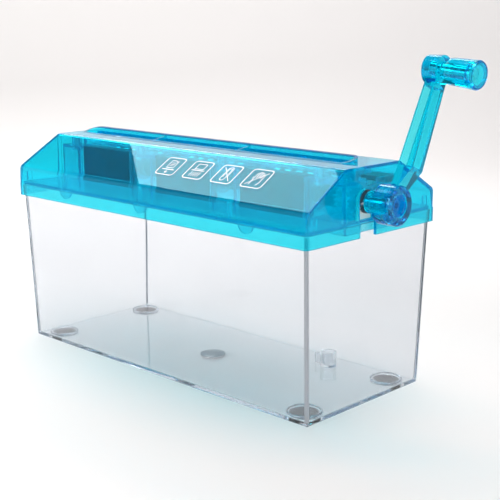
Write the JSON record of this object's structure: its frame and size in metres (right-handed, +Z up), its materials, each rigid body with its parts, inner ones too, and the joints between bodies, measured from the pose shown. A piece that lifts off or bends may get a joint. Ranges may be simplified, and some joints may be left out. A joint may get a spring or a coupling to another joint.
{
  "type": "hand-crank desktop paper shredder",
  "caption": "Hand-crank desktop paper shredder: clear shred bin, translucent lift-off head with meshed cutter shafts, and a side crank with a turning knob.",
  "frame": {"origin": "on the standing surface, under the centre of the overall bounding box", "axes": "+X runs along the bin towards the crank, -Y is the side with the sloping icon panel that faces the user, +Z is up"},
  "size_m": [0.3572, 0.133, 0.2297],
  "materials": {
    "clear_bin": "clear polystyrene, glossy",
    "foot_rubber": "matt grey rubber pads",
    "cover_plastic": "translucent cyan, glossy",
    "chassis_plastic": "translucent cyan, glossy",
    "screw_steel": "zinc-plated steel",
    "guard_plastic": "dark moulded plastic",
    "block_plastic": "black moulded plastic",
    "bush_plastic": "natural acetal",
    "shaft_steel": "ground steel",
    "cutter_steel": "hardened cutter steel",
    "spacer_plastic": "dark moulded plastic",
    "gear_plastic": "pale cyan moulded plastic",
    "clip_steel": "black spring steel",
    "crank_plastic": "translucent blue, glossy",
    "plug_plastic": "translucent deep blue, glossy",
    "cap_plastic": "translucent cyan, glossy"
  },
  "bodies": {
    "bin": {"bin": "clear_bin", "bin_feet": "foot_rubber"},
    "head": {"head_cover": "cover_plastic", "head_chassis": "chassis_plastic", "cover_screws": "screw_steel", "front_strippers": "guard_plastic", "rear_strippers": "guard_plastic", "gear_guard": "block_plastic", "left_bushes": "bush_plastic", "drive_bush": "bush_plastic", "driven_bush": "bush_plastic"},
    "drive": {"drive_shaft": "shaft_steel", "front_discs": "cutter_steel", "front_spacers": "spacer_plastic", "drive_gear": "gear_plastic", "drive_clips": "clip_steel", "hub_washer": "screw_steel", "crank_arm": "crank_plastic", "crank_screw": "plug_plastic", "knob_pin": "screw_steel"},
    "driven": {"driven_shaft": "shaft_steel", "rear_discs": "cutter_steel", "rear_spacers": "spacer_plastic", "driven_gear": "gear_plastic", "driven_clips": "clip_steel"},
    "knob": {"knob_grip": "crank_plastic", "knob_cap": "cap_plastic"}
  },
  "joints": [
    {"name": "head_lift", "type": "slide", "parent": "bin", "child": "head", "axis": [0, 0, 1], "range_m": [0, 0.06]},
    {"name": "crank_turn", "type": "hinge", "parent": "head", "child": "drive", "pos_m": [0.12641, -0.007, 0.139], "axis": [1, 0, 0], "continuous": true},
    {"name": "driven_turn", "type": "hinge", "parent": "head", "child": "driven", "pos_m": [-0.03359, 0.011, 0.139], "axis": [1, 0, 0], "continuous": true},
    {"name": "knob_spin", "type": "hinge", "parent": "drive", "child": "knob", "pos_m": [0.15191, 0.02557, 0.22043], "axis": [0.9957, -0.0343, -0.0858], "continuous": true}
  ],
  "couplings": [
    {"joint": "driven_turn", "follows": "crank_turn", "ratio": -1}
  ]
}
